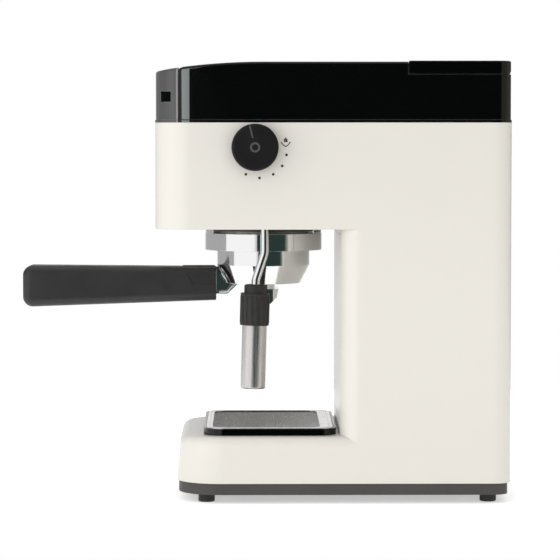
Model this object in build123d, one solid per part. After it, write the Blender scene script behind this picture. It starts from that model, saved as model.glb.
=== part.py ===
from build123d import *
from math import cos, radians, sin, sqrt
import os

# Slim pump espresso machine. Millimetres.
# Working axes: X to the user's right, Y from the front to the back, Z up.
# x = 0 is the casing's mid-plane, y = 0 the axis of the brew group, z = 0 the counter.
# At export everything is shifted so that the origin is the bottom centre of the whole machine.

# ---------------------------------------------------------------- casing
half_width = 72.0
front_y = -74.6
rear_y = 169.7
front_corner = 24.0
rear_corner = 12.0
wall = 2.5
seam_z = 260.7            # joint between the white casing and the black top
head_floor_z = 187.9
column_y = 52.0
column_corner = 14.0
base_front_y = -60.4
base_corner = 31.0
base_lean = 3.0           # the base front leans back by this much at its top
base_top_z = 46.1
base_edge = 6.0
plate_top_z = 13.9
foot_height = 6.0
rear_opening = 58.0
slip = 0.3                # gap left round a lid, tray or panel

# ---------------------------------------------------------------- black top
lip_height = 2.0
lip_round = 0.55
cap_inset = 0.6
cap_top_z = 302.0
cap_edge = 2.0
brow_radius = 2.6
cap_crown = 430.0         # radius of the nose's gentle downward curve
panel_split_y = -57.9
lid_front_y = 98.5
lid_bottom_z = 293.9
lid_top_z = 302.7
deck_top_z = 293.3

# ---------------------------------------------------------------- group and filter holder
collar_radius = 41.3
collar_bottom_z = 171.6
collar_top_z = 183.4
neck_radius = 34.9
collar_shelf = 1.4         # thickness of the shelf that carries the filter holder's ears
boss_inner = 35.4
boss_outer = 41.0
boss_half_angle = 31.0
lug_radius = 2.7
lug_bore = 1.5
cup_radius = 32.75
cup_bottom_z = 148.0
cup_bottom_radius = 26.3
cup_cone_z = 161.0
cup_rim_z = 176.4
cavity_bottom_z = 151.5
cavity_bottom_radius = 24.8
cavity_cone_z = 162.0
cavity_radius = 30.0
basket_bottom_z = 153.0
basket_bottom_radius = 24.4
basket_cone_z = 163.3
basket_radius = 29.6
basket_top_z = 177.6
basket_wall = 0.6
ear_bottom_z = 173.3
ear_top_z = 176.2
ear_angle = 50.0          # turn that frees the filter holder
handle_end_y = -169.4
handle_start_y = -33.4
handle_half = 13.5

# ---------------------------------------------------------------- steam side
knob_y = -5.9
knob_z = 243.9
knob_radius = 16.0
knob_face_x = 86.0
wand_x = 46.0
wand_y = 0.7
wand_radius = 2.9
wand_bore = 1.9
wand_tilt = -1.6

# ---------------------------------------------------------------- tray and tank
tray_front_y = -41.5
tray_rear_y = 50.0
tray_half = 64.0
tray_corner = 14.0
tray_top_z = 51.0
grate_thick = 1.8
tank_half = 64.0
tank_front_y = 101.0
tank_rear_y = 164.0
tank_bottom_z = 152.0
tank_top_z = 292.4
tank_corner = 8.0
seat_y = 132.0

# ---------------------------------------------------------------- pump and boiler
pump_x = -35.0
pump_y = 78.0
pump_radius = 15.0
boiler_radius = 36.0
boiler_bottom_z = 194.0
boiler_split_z = 216.0
boiler_top_z = 240.0
hose_bore = 2.2
hose_radius = 4.0

shift = Location((-(knob_face_x - half_width) / 2, -(rear_y + handle_end_y) / 2, 0))
parts = {}


# ---------------------------------------------------------------- helpers
def slab(x0, x1, y0, y1, z0, z1):
    return Pos((x0 + x1) / 2, (y0 + y1) / 2, (z0 + z1) / 2) * Box(x1 - x0, y1 - y0, z1 - z0)


def disc(radius, z0, z1, x=0.0, y=0.0):
    return Pos(x, y, (z0 + z1) / 2) * Cylinder(radius, z1 - z0)


def ring(outer, inner, z0, z1, x=0.0, y=0.0):
    return disc(outer, z0, z1, x, y) - disc(inner, z0 - 1, z1 + 1, x, y)


def rod_x(radius, x0, x1, y, z):
    return Pos((x0 + x1) / 2, y, z) * Rot(0, 90, 0) * Cylinder(radius, x1 - x0)


def rod_y(radius, y0, y1, x, z):
    return Pos(x, (y0 + y1) / 2, z) * Rot(90, 0, 0) * Cylinder(radius, y1 - y0)


def outline(y0, y1, half, front_radius, rear_radius):
    """Rounded plan outline with its own radii at the front and at the rear."""
    face = Pos(0, (y0 + y1) / 2) * Rectangle(2 * half, y1 - y0)
    face = fillet(face.vertices().sort_by(Axis.Y)[:2], front_radius)
    return fillet(face.vertices().sort_by(Axis.Y)[-2:], rear_radius)


def block(face, z0, z1):
    return extrude(Pos(0, 0, z0) * face, z1 - z0)


def side_profile(points, half):
    """Solid cut from a plate: a closed (y, z) outline, 2 * half thick across X."""
    face = make_face(Polyline(*[(0, y, z) for y, z in points], close=True))
    return extrude(face, half, dir=(1, 0, 0), both=True)


def turned(points, x=0.0, y=0.0):
    """Solid of revolution about a vertical axis from an (r, z) outline."""
    face = make_face(Polyline(*[(r, 0, z) for r, z in points], close=True))
    return Pos(x, y, 0) * revolve(face, Axis.Z)


def pipe(points, radii, outer, inner):
    """Round tube along straight runs that tangent arcs join."""
    path = FilletPolyline(*points, radius=radii)
    start = Plane(origin=path @ 0, z_dir=path % 0)
    tube = sweep(start * Circle(outer), path)
    return tube - sweep(start * Circle(inner), path)


def on_circle(radius, degrees):
    return radius * cos(radians(degrees)), radius * sin(radians(degrees))


def joined(solids):
    """Several separate solids kept as one node."""
    return Compound(children=list(solids))


# ---------------------------------------------------------------- casing
def casing_solid(inset):
    """C-shaped volume of the casing, drawn in by inset on every side."""
    half = half_width - inset
    rear = rear_y - inset
    head = block(
        outline(front_y + inset, rear, half, front_corner - inset, rear_corner - inset),
        head_floor_z + inset, seam_z)
    column = block(
        outline(column_y + inset, rear, half, column_corner - inset, rear_corner - inset),
        plate_top_z, seam_z)
    foot = outline(base_front_y + inset, rear, half, base_corner - inset, rear_corner - inset)
    table = outline(base_front_y + base_lean + inset, rear, half, base_corner - inset, rear_corner - inset)
    base = loft([Pos(0, 0, plate_top_z) * foot, Pos(0, 0, base_top_z - inset) * table], ruled=True)
    top_edges = base.edges().filter_by_position(Axis.Z, base_top_z - inset - 0.1, base_top_z)
    base = fillet(top_edges, base_edge - inset)
    return head + column + base


def body_shell():
    shell = casing_solid(0.0) - casing_solid(wall)
    shell -= disc(neck_radius + slip, head_floor_z - 1, head_floor_z + wall + 1)
    for x, y in lug_places():
        shell -= disc(lug_bore, head_floor_z - 1, head_floor_z + wall + 1, x, y)
    shell -= disc(6.2, head_floor_z - 1, head_floor_z + wall + 1, wand_x, wand_y)
    shell -= rod_x(4.0, half_width - wall - 1, half_width + 1, knob_y, knob_z)
    shell -= slab(-rear_opening, rear_opening, rear_y - wall - 1, rear_y + 1, 0, seam_z + 1)
    shell -= slab(-52.4, 52.4, column_y - 1, column_y + wall + 1, 55.6, 184.4)
    tub = outline(tray_front_y + 3, tray_rear_y - 3, tray_half - 3, tray_corner - 3, tray_corner - 3)
    shell -= block(tub, base_top_z - wall - 1, base_top_z + 1)
    for x, z in panel_screw_places():
        tab = slab(x - tab_half_x, x + tab_half_x, rear_y - wall - tab_thick, rear_y - wall, z - tab_half_z,
                   z + tab_half_z)
        shell += tab - rod_y(panel_screw_shank + 0.05, rear_y - wall - tab_thick - 1, rear_y, x, z)
    return shell


tab_half_x = 5.0
tab_half_z = 6.0
tab_thick = 2.2
panel_screw_shank = 1.4
panel_screw_head = 3.2
panel_screw_sink = 1.3


def panel_screw_places():
    """Rear panel screws: tabs inside the casing's rear opening take them."""
    return [(side * 54.0, z) for side in (-1, 1) for z in (58, 126, 236)]


def column_front_panel():
    panel = slab(-52.0, 52.0, column_y, column_y + wall, 56.0, 184.0)
    return fillet(panel.edges().group_by(Axis.Y)[0], 0.8)


def rear_panel():
    edge = rear_opening - slip
    panel = slab(-edge, edge, rear_y - wall, rear_y, plate_top_z + slip, seam_z - slip)
    for row in range(7):
        slot_z = 84 + row * 8
        slot = slab(-32, 32, rear_y - wall - 1, rear_y + 1, slot_z, slot_z + 3)
        panel -= fillet(slot.edges().filter_by(Axis.Y), 1.4)
    for x, z in panel_screw_places():
        panel -= rod_y(panel_screw_head + 0.2, rear_y - panel_screw_sink, rear_y + 1, x, z)
        panel -= rod_y(panel_screw_shank + 0.1, rear_y - wall - 1, rear_y, x, z)
    return panel - rod_y(8.0, rear_y - wall - 1, rear_y + 1, -40, 32)


def cord_gland():
    gland = rod_y(8.0, rear_y - 12, rear_y, -40, 32)
    gland += rod_y(10.5, rear_y - wall - 4, rear_y - wall, -40, 32)
    return gland - rod_y(3.6, rear_y - 13, rear_y + 1, -40, 32)


def base_plate():
    plate = block(outline(-58.8, 167.7, half_width - 1.6, base_corner - 1.6, rear_corner - 1.6),
                  foot_height, plate_top_z)
    pocket = outline(-55.8, 164.7, half_width - 4.6, base_corner - 4.6, rear_corner - 4.6)
    plate -= block(pocket, foot_height + 3, plate_top_z + 1)
    for row in range(6):
        slot_y = 92 + row * 9
        plate -= slab(-36, 36, slot_y, slot_y + 3.5, foot_height - 1, foot_height + 4)
    for x, y in screw_places():
        plate += disc(5, foot_height + 3, plate_top_z, x, y)
        plate -= disc(2, foot_height - 1, plate_top_z + 1, x, y)
        plate -= disc(4, foot_height - 1, foot_height + 2, x, y)
    return plate


def screw_places():
    return [(x, y) for x in (-46, 46) for y in (-28, 140)]


def casing_screws():
    """Screws of the base plate, and the smaller ones of the rear panel."""
    screws = []
    for x, y in screw_places():
        head = disc(3.8, foot_height + 0.2, foot_height + 2, x, y)
        screws.append(head + disc(1.9, foot_height + 2, plate_top_z + 8, x, y))
    for x, z in panel_screw_places():
        head = rod_y(panel_screw_head, rear_y - panel_screw_sink, rear_y - 0.1, x, z)
        head = fillet(head.edges().group_by(Axis.Y)[-1], 0.5)
        shank = rod_y(panel_screw_shank, rear_y - wall - tab_thick - 0.4, rear_y - panel_screw_sink, x, z)
        screws.append(head + shank)
    return joined(screws)


def rubber_feet():
    feet = []
    for x in (-56, 56):
        for y in (-39.4, 154.7):
            foot = disc(5.7, 0, foot_height, x, y)
            feet.append(fillet(foot.edges().group_by(Axis.Z)[0], 1.0))
    return joined(feet)


# ---------------------------------------------------------------- black top
def cap_solid(inset, bottom_z):
    """Volume under the crowned top, drawn in by inset."""
    side = cap_inset + inset
    plan = outline(front_y + side, rear_y - side, half_width - side,
                   front_corner - side, rear_corner - side)
    tall = block(plan, bottom_z, cap_top_z + 1)
    top = cap_top_z - inset
    nose_y = front_y - 4
    drop = cap_top_z - crown_z(nose_y)
    mid_drop = cap_top_z - crown_z(nose_y / 2)
    roof = [
        Line((0, rear_y + 1, bottom_z), (0, rear_y + 1, top)),
        Line((0, rear_y + 1, top), (0, 0, top)),
        ThreePointArc((0, 0, top), (0, nose_y / 2, top - mid_drop), (0, nose_y, top - drop)),
        Line((0, nose_y, top - drop), (0, nose_y, bottom_z)),
        Line((0, nose_y, bottom_z), (0, rear_y + 1, bottom_z)),
    ]
    solid = tall & extrude(make_face(roof), half_width + 2, dir=(1, 0, 0), both=True)
    rim = [
        edge for edge in solid.edges()
        if edge.center().Z > top - 8 and not (abs(edge.center().Y) < 1 and abs(edge.center().X) < 1)
    ]
    return fillet(rim, cap_edge - inset / 2)


def cap_shell():
    return cap_solid(0.0, seam_z + 0.1) - cap_solid(wall, seam_z - 1)


def lip():
    outer = outline(front_y, rear_y, half_width, front_corner, rear_corner)
    inner = outline(front_y + 3, rear_y - 3, half_width - 3, front_corner - 3, rear_corner - 3)
    band = block(outer, seam_z, seam_z + lip_height)
    band = fillet(band.edges().group_by(Axis.Z)[-1], lip_round)
    return band - block(inner, seam_z - 1, seam_z + lip_height + 1)


def hinge_places():
    return (-38.0, 38.0)


hinge_y = 168.3
hinge_z = 293.5
knuckle_radius = 1.4
knuckle_half = 4.0


def crown_z(y):
    """Height of the crowned roof over the nose at y."""
    return cap_top_z - cap_crown + sqrt(cap_crown**2 - y**2)


def brow_corner():
    """What rounding takes off the top front edge of the black top."""
    centre_y = panel_split_y + brow_radius
    centre_z = crown_z(panel_split_y) - brow_radius
    corner = slab(-90, 90, panel_split_y - 1, centre_y, centre_z, centre_z + brow_radius + 2)
    return corner - rod_x(brow_radius, -91, 91, centre_y, centre_z)


def top_cover():
    solid = cap_solid(0.0, seam_z)
    shell = cap_shell() + lip()
    shell &= slab(-90, 90, panel_split_y, rear_y + 5, seam_z, cap_top_z + 5)
    shell += solid & slab(-90, 90, panel_split_y, panel_split_y + 5, 293.5, cap_top_z)
    shell -= brow_corner()
    deck = solid & slab(-90, 90, lid_front_y - 3, rear_y + 5, deck_top_z - wall, deck_top_z)
    step = solid & slab(-90, 90, lid_front_y - 3, lid_front_y - 0.4, deck_top_z - wall, cap_top_z + 5)
    cover = shell + deck + step
    cover -= slab(-90, 90, lid_front_y - 0.4, rear_y + 5, deck_top_z, cap_top_z + 5)
    bay = outline(tank_front_y - 0.8, tank_rear_y + 0.8, tank_half + 0.8, tank_corner, tank_corner)
    cover -= block(bay, deck_top_z - wall - 1, deck_top_z + 1)
    cover -= block(outline(-8, 90, 58, 8, 8), cap_top_z - 1.3, cap_top_z + 1)
    for x in hinge_places():
        cover -= slab(x - 10, x + 10, tank_rear_y - 1, rear_y + 5, hinge_z - 2.9, hinge_z + 5)
    return cover


def cup_tray():
    tray = block(outline(-7.7, 89.7, 57.7, 7.7, 7.7), cap_top_z - 1.3, cap_top_z - 0.2)
    for row in range(9):
        rib_y = 1 + row * 10
        tray += slab(-48, 48, rib_y - 0.9, rib_y + 0.9, cap_top_z - 0.25, cap_top_z + 0.15)
    return tray


button_z = 279.0
button_places = {"steam_button": -30.0, "brew_button": 0.0, "power_button": 30.0}
button_radius = 7.0
panel_face_y = front_y + cap_inset


def front_panel():
    shell = cap_shell() + lip()
    panel = shell & slab(-90, 90, front_y - 5, panel_split_y - slip, seam_z, cap_top_z + 5)
    for x in button_places.values():
        panel -= rod_y(button_radius + 0.15, front_y - 1, front_y + 6, x, button_z)
    for side in (-1, 1):
        panel += window_block(side, 0.0)
        panel -= window_block(side, 1.2)
    return panel


def window_block(side, inset):
    """Square pocket let into each rounded front corner, deeper by inset than its frame."""
    y0 = -71.4 + inset
    y1 = -62.0 - inset
    z0 = 273.6 + inset
    z1 = 283.1 - inset
    inner = 58.0 + 2 * inset
    reach = slab(inner, 90, y0, y1, z0, z1) if side > 0 else slab(-90, -inner, y0, y1, z0, z1)
    return reach & cap_solid(0.0, seam_z) if inset == 0 else reach


def indicator_windows():
    panes = []
    for side in (-1, 1):
        pane = slab(60.45, 62.6, -70.15, -63.25, 274.85, 281.85)
        panes.append(pane if side > 0 else mirror(pane, Plane.YZ))
    return joined(panes)


def push_button(x):
    face = rod_y(button_radius, panel_face_y + 0.2, panel_face_y + 5, x, button_z)
    face = fillet(face.edges().group_by(Axis.Y)[0], 0.6)
    flange = rod_y(button_radius + 1.6, panel_face_y + wall + 0.1, panel_face_y + wall + 1.5, x, button_z)
    return face + flange + rod_y(2.5, panel_face_y + 5, panel_face_y + 12, x, button_z)


def control_board():
    board = slab(-48, 48, -55.4, -53.8, 265.5, 292)
    solids = board
    for x in button_places.values():
        solids += slab(x - 5, x + 5, -59.8, -55.4, button_z - 5, button_z + 5)
    for x in (-41, 41):
        solids += slab(x - 6, x + 6, -53.8, -47, 268, 286)
    return solids


# ---------------------------------------------------------------- tank
def water_tank():
    outer = block(outline(tank_front_y, tank_rear_y, tank_half, tank_corner, tank_corner),
                  tank_bottom_z, tank_top_z)
    thin = 2.0
    cavity = outline(tank_front_y + thin, tank_rear_y - thin, tank_half - thin,
                     tank_corner - thin, tank_corner - thin)
    tank = outer - block(cavity, tank_bottom_z + 3, tank_top_z + 1)
    tank -= disc(8.0, tank_bottom_z - 1, tank_bottom_z + 4, 0, seat_y)
    for x in hinge_places():
        tab = slab(x - 9, x + 9, tank_rear_y - thin, hinge_y, hinge_z - 2.4, hinge_z - 1.7)
        for end in (-1, 1):
            middle = x + end * 6.6
            tab += rod_x(knuckle_radius, middle - 2.3, middle + 2.3, hinge_y, hinge_z)
            tab += slab(middle - 2.3, middle + 2.3, hinge_y - 1.4, hinge_y, hinge_z - 2.4, hinge_z)
        tank += tab - rod_x(0.8, x - 10, x + 10, hinge_y, hinge_z)
    return tank


def tank_lid():
    solid = cap_solid(0.0, lid_bottom_z) & slab(-90, 90, lid_front_y, rear_y, lid_bottom_z, lid_top_z)
    plan = solid.faces().sort_by(Axis.Z)[0]
    lid = extrude(plan, lid_top_z - lid_bottom_z, dir=(0, 0, 1))
    lid = fillet(lid.edges().group_by(Axis.Z)[-1], 1.2)
    hollow = outline(lid_front_y + 2.2, rear_y - cap_inset - 2.2, half_width - cap_inset - 2.2, 1.5, 9)
    lid -= block(hollow, lid_bottom_z - 1, lid_top_z - 2.4)
    lid -= slab(-90, 90, hinge_y, rear_y + 1, lid_bottom_z - 1, hinge_z + 1.6)
    for x in hinge_places():
        lid -= slab(x - 9.6, x + 9.6, hinge_y - 5, rear_y + 1, lid_bottom_z - 1, hinge_z + 1.8)
        lid += rod_x(knuckle_radius, x - knuckle_half, x + knuckle_half, hinge_y, hinge_z)
        lid += slab(x - knuckle_half, x + knuckle_half, hinge_y - 1.4, hinge_y + 0.8, hinge_z, lid_top_z - 3)
        lid -= rod_x(0.8, x - 10, x + 10, hinge_y, hinge_z)
    return lid


def lid_hinge_pins():
    return joined(rod_x(0.75, x - 8.8, x + 8.8, hinge_y, hinge_z) for x in hinge_places())


def tank_valve_body():
    body = ring(8.0, 6.0, tank_bottom_z - 1.0, tank_bottom_z + 10, 0, seat_y)
    body += ring(10.0, 6.0, tank_bottom_z + 3, tank_bottom_z + 5, 0, seat_y)
    bridge = disc(6.5, tank_bottom_z + 8.5, tank_bottom_z + 10, 0, seat_y)
    bridge -= disc(1.8, tank_bottom_z + 8, tank_bottom_z + 11, 0, seat_y)
    for degrees in range(0, 360, 60):
        x, y = on_circle(4.0, degrees)
        bridge -= disc(1.1, tank_bottom_z + 8, tank_bottom_z + 11, x, seat_y + y)
    return body + bridge


def tank_valve_plunger():
    head = disc(5.0, tank_bottom_z + 0.6, tank_bottom_z + 2.2, 0, seat_y)
    return head + disc(1.7, tank_bottom_z + 2.2, tank_bottom_z + 11.5, 0, seat_y)


def coil_spring(radius, wire, bottom, top, turns, x, y):
    pitch = (top - bottom - 2 * wire) / turns
    path = Pos(x, y, bottom + wire) * Helix(pitch, pitch * turns, radius)
    start = Plane(origin=path @ 0, z_dir=path % 0)
    return sweep(start * Circle(wire), path, is_frenet=True)


def tank_valve_spring():
    return coil_spring(2.9, 0.35, tank_bottom_z + 2.3, tank_bottom_z + 8.4, 4, 0, seat_y)


def tank_shelf():
    shelf = block(outline(98, 166.8, 69, 1, 10), 146, 149)
    shelf += slab(-69, 69, 98, 100, 149, 160)
    for x in (-50, 50):
        for y in (108, 156):
            shelf += disc(4, 149, tank_bottom_z, x, y)
    return shelf - disc(12, 145, 150, 0, seat_y)


def tank_seat():
    seat = ring(12, 9.6, 142, tank_bottom_z - 1.2, 0, seat_y)
    seat += ring(15, 9.6, 149, 150.2, 0, seat_y)
    floor = disc(10, 142, 144, 0, seat_y) - disc(hose_bore - 0.8, 141, 145, 0, seat_y)
    seat += floor
    for degrees in range(0, 360, 120):
        x, y = on_circle(4.0, degrees)
        seat += disc(1.1, 144, 149.2, x, seat_y + y)
    seat += disc(4.8, 149.2, 150.0, 0, seat_y) - disc(2.6, 149, 150.1, 0, seat_y)
    seat += disc(1.0, 150.0, tank_bottom_z + 0.5, 3.5, seat_y)
    seat += disc(1.0, 150.0, tank_bottom_z + 0.5, -3.5, seat_y)
    return seat + ring(hose_bore, hose_bore - 0.8, 130, 142, 0, seat_y)


def tank_seat_seal():
    return ring(9.5, 8.1, 147, tank_bottom_z - 0.2, 0, seat_y) + ring(9.5, 7.0, 146, 147, 0, seat_y)


# ---------------------------------------------------------------- pump and hoses
pump_bottom_z = 58.0
pump_top_z = 128.0


def pump_body():
    pump = disc(pump_radius, pump_bottom_z, pump_top_z, pump_x, pump_y)
    pump += disc(6, pump_top_z, pump_top_z + 12, pump_x, pump_y)
    pump += disc(hose_bore, pump_bottom_z - 14, pump_bottom_z, pump_x, pump_y)
    return pump - disc(1.4, pump_bottom_z - 15, pump_top_z + 13, pump_x, pump_y)


def pump_coil():
    coil = slab(pump_x - 22, pump_x + 22, pump_y - 21, pump_y + 21, 74, 112)
    coil = fillet(coil.edges().filter_by(Axis.Z), 3)
    for z in (82, 104):
        band = slab(pump_x - 23, pump_x + 23, pump_y - 22, pump_y + 22, z - 2, z)
        coil += band
    return coil - disc(pump_radius, 70, 120, pump_x, pump_y)


def mount_levels():
    return (pump_bottom_z + 6, pump_top_z - 8)


def pump_mounts():
    rings = []
    for z in mount_levels():
        bore = pump_radius + 0.05
        collar = ring(20, bore, z, z + 2, pump_x, pump_y)
        collar += ring(22.2, bore, z + 2, z + 4, pump_x, pump_y)
        collar += ring(22.2, bore, z - 2, z, pump_x, pump_y)
        rings.append(collar)
    return joined(rings)


def pump_bracket():
    levels = mount_levels()
    back = slab(-69.5, -67.5, pump_y - 10, pump_y + 18, levels[0], levels[1] + 2)
    for z in levels:
        arm = slab(-67.5, -58, pump_y - 10, pump_y + 18, z, z + 2)
        arm += slab(-60, pump_x + 24, pump_y - 22.5, pump_y + 22.5, z, z + 2)
        back += arm - disc(20.1, z - 1, z + 3, pump_x, pump_y)
    return back


def relief_valve():
    z0 = pump_top_z + 12
    valve = slab(pump_x - 9, pump_x + 9, pump_y - 9, pump_y + 9, z0, z0 + 18)
    valve = fillet(valve.edges().filter_by(Axis.Z), 2)
    valve += rod_x(6, pump_x + 9, pump_x + 21, pump_y, z0 + 9)
    valve += disc(hose_bore, z0 + 18, z0 + 32, pump_x, pump_y)
    return valve - disc(1.4, z0 - 1, z0 + 33, pump_x, pump_y)


suction_route = [
    (0, seat_y, 140),
    (0, seat_y, 26),
    (pump_x, pump_y, 26),
    (pump_x, pump_y, pump_bottom_z - 2),
]
suction_radii = [24, 12]
inlet_x = -18.0
inlet_y = 22.0
pressure_route = [
    (pump_x, pump_y, pump_top_z + 32),
    (pump_x, pump_y, 272),
    (inlet_x, inlet_y, 272),
    (inlet_x, inlet_y, boiler_top_z + 3),
]
pressure_radii = [26, 24]


def suction_hose():
    return pipe(suction_route, suction_radii, hose_radius, hose_bore)


def pressure_hose():
    return pipe(pressure_route, pressure_radii, hose_radius, hose_bore)


# ---------------------------------------------------------------- boiler
boiler_bore = 31.0
flange_radius = 42.0
bolt_circle = 39.3
element_radius = 22.0
element_tube = 3.5
element_z = 206.0


def bolt_angles():
    return range(30, 390, 60)


def boiler_lower():
    lower = disc(boiler_radius, boiler_bottom_z, boiler_split_z)
    lower += disc(flange_radius, boiler_split_z - 4, boiler_split_z)
    lower -= disc(boiler_bore, boiler_bottom_z + 4, boiler_split_z + 1)
    lower -= disc(2.0, boiler_bottom_z - 1, boiler_bottom_z + 5)
    for degrees in bolt_angles():
        x, y = on_circle(bolt_circle, degrees)
        lower -= disc(2.0, boiler_split_z - 5, boiler_split_z + 1, x, y)
    return lower


def boiler_upper():
    upper = disc(boiler_radius, boiler_split_z, boiler_top_z)
    upper = fillet(upper.edges().group_by(Axis.Z)[-1], 4)
    upper += disc(flange_radius, boiler_split_z, boiler_split_z + 4)
    upper -= disc(boiler_bore, boiler_split_z - 1, boiler_top_z - 4)
    upper += disc(hose_bore, boiler_top_z - 0.5, boiler_top_z + 14, inlet_x, inlet_y)
    upper -= disc(1.3, boiler_top_z - 5, boiler_top_z + 15, inlet_x, inlet_y)
    for degrees in bolt_angles():
        x, y = on_circle(bolt_circle, degrees)
        upper -= disc(2.0, boiler_split_z - 1, boiler_split_z + 5, x, y)
    for degrees in (150, 210):
        x, y = on_circle(element_radius, degrees)
        upper -= disc(element_tube, boiler_top_z - 5, boiler_top_z + 1, x, y)
    return upper - disc(2.0, boiler_top_z - 5, boiler_top_z + 1, 27, knob_y)


def boiler_screws():
    screws = []
    for degrees in bolt_angles():
        x, y = on_circle(bolt_circle, degrees)
        screw = disc(1.9, boiler_split_z - 4, boiler_split_z + 4, x, y)
        screws.append(screw + disc(3.0, boiler_split_z + 4, boiler_split_z + 7, x, y))
    return joined(screws)


def heating_element():
    start = on_circle(element_radius, -150)
    end = on_circle(element_radius, 150)
    arc = ThreePointArc((*start, element_z), (element_radius, 0, element_z), (*end, element_z))
    coil = sweep(Plane(origin=arc @ 0, z_dir=arc % 0) * Circle(element_tube), arc)
    for x, y in (start, end):
        coil += Pos(x, y, element_z) * Sphere(element_tube)
        coil += disc(element_tube, element_z, boiler_top_z + 6, x, y)
        coil += slab(x - 0.4, x + 0.4, y - 2.4, y + 2.4, boiler_top_z + 6, boiler_top_z + 14)
    return coil


def thermostats():
    units = []
    for x, y in ((8, 22), (4, -23)):
        unit = disc(8, boiler_top_z, boiler_top_z + 5, x, y)
        unit += disc(6, boiler_top_z + 5, boiler_top_z + 9, x, y)
        for side in (-3.5, 3.5):
            unit += slab(x + side - 0.4, x + side + 0.4, y - 2.4, y + 2.4, boiler_top_z + 9, boiler_top_z + 16)
        units.append(unit)
    return joined(units)


# ---------------------------------------------------------------- steam side
def steam_valve_body():
    valve = slab(44, 60, knob_y - 7, knob_y + 7, knob_z - 7, knob_z + 7)
    valve = fillet(valve.edges().filter_by(Axis.X), 2)
    valve += rod_x(6, 60, 67, knob_y, knob_z)
    valve += rod_x(3.8, 27, 44, knob_y, knob_z)
    valve += disc(3.8, boiler_top_z, knob_z, 27, knob_y)
    valve += Pos(27, knob_y, knob_z) * Sphere(3.8)
    valve += disc(hose_bore, 231, knob_z - 6, 52, knob_y)
    valve -= rod_x(2.55, 49, 68, knob_y, knob_z)
    valve -= rod_x(1.5, 27, 50, knob_y, knob_z)
    valve -= disc(1.5, boiler_top_z - 1, knob_z, 27, knob_y)
    return valve - disc(1.4, 230, knob_z, 52, knob_y)


def steam_spindle():
    spindle = rod_x(2.5, 53, knob_face_x - 3, knob_y, knob_z)
    return spindle + Pos(53, knob_y, knob_z) * Rot(0, -90, 0) * Cone(2.5, 0.8, 3.5, align=(
        Align.CENTER, Align.CENTER, Align.MIN))


def steam_knob():
    back_x = half_width + 0.8
    knob = rod_x(knob_radius, back_x, knob_face_x, knob_y, knob_z)
    knob = fillet(knob.edges().group_by(Axis.X)[-1], 1.8)
    knob -= rod_x(knob_radius - 2.5, back_x - 1, knob_face_x - 4, knob_y, knob_z)
    knob += rod_x(5.5, back_x, knob_face_x - 3.5, knob_y, knob_z)
    knob -= rod_x(2.5, back_x - 1, knob_face_x - 3, knob_y, knob_z)
    groove = slab(knob_face_x - 0.5, knob_face_x + 1, -0.6, 0.6, 6.5, knob_radius + 1)
    knob -= Pos(0, knob_y, knob_z) * Rot(14, 0, 0) * groove
    dish = rod_x(3.6, knob_face_x - 0.5, knob_face_x + 1, knob_y, knob_z)
    return knob - (dish - rod_x(2.0, knob_face_x - 1, knob_face_x + 2, knob_y, knob_z))


feed_route = [
    (52, knob_y, 235),
    (52, knob_y, 223),
    (wand_x, wand_y, 214),
    (wand_x, wand_y, 202),
]
feed_radii = [8, 8]


def steam_feed_pipe():
    return pipe(feed_route, feed_radii, 2.9, hose_bore)


def wand_socket():
    floor = head_floor_z + wall
    socket = disc(7.0, floor, 206, wand_x, wand_y)
    socket += disc(6.0, head_floor_z, floor, wand_x, wand_y)
    socket -= disc(wand_radius + 0.05, head_floor_z - 1, 193, wand_x, wand_y)
    socket -= disc(4.7, 192.4, 202, wand_x, wand_y)
    return socket - disc(2.9, 201, 207, wand_x, wand_y)


wand_top_z = 149.0
wand_top_y = -5.5
pipe_length = 62.0


def wand_place():
    return Location((wand_x, wand_top_y, wand_top_z), (wand_tilt, 0, 0))


def steam_pipe():
    tip_y = wand_top_y + pipe_length * sin(radians(wand_tilt))
    tip_z = wand_top_z - pipe_length * cos(radians(wand_tilt))
    knee_y = wand_top_y - 3.5 * sin(radians(wand_tilt))
    route = [
        (wand_x, wand_y, 199),
        (wand_x, wand_y, 171.0),
        (wand_x, knee_y, wand_top_z + 3.5),
        (wand_x, tip_y, tip_z),
    ]
    tube = pipe(route, [14, 10], wand_radius, wand_bore)
    return tube + ring(4.6, wand_bore, 194, 200, wand_x, wand_y)


def wand_sleeve():
    sleeve = disc(7.3, -6.0, 0)
    sleeve = fillet(sleeve.edges().group_by(Axis.Z)[-1], 1.5)
    grip = disc(10.25, -28.1, -6.0)
    grip = fillet(grip.edges().group_by(Axis.Z)[-1], 1.0)
    sleeve += grip
    sleeve -= disc(wand_radius, -30, 1)
    sleeve -= ring(8.5, 7.6, -30, -19)
    return wand_place() * sleeve


def frothing_tube():
    length = 71.8
    tube = disc(8.5, -length, -19)
    tube = fillet(tube.edges().group_by(Axis.Z)[0], 1.2)
    tube -= disc(7.6, -length + 1.2, -18)
    tube -= disc(2.2, -length - 1, -length + 2)
    return wand_place() * tube


# ---------------------------------------------------------------- group
def lug_places():
    return [on_circle(collar_radius - lug_radius, degrees) for degrees in (65, 115, 245, 295)]


def head_underside_plate():
    plate = ring(40.8, neck_radius + slip, head_floor_z - 2.6, head_floor_z)
    for middle in (90, 270):
        plate -= sector(middle, boss_half_angle + 1, boss_inner - 2, boss_outer + 1, collar_top_z, head_floor_z + 1)
    return plate


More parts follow.
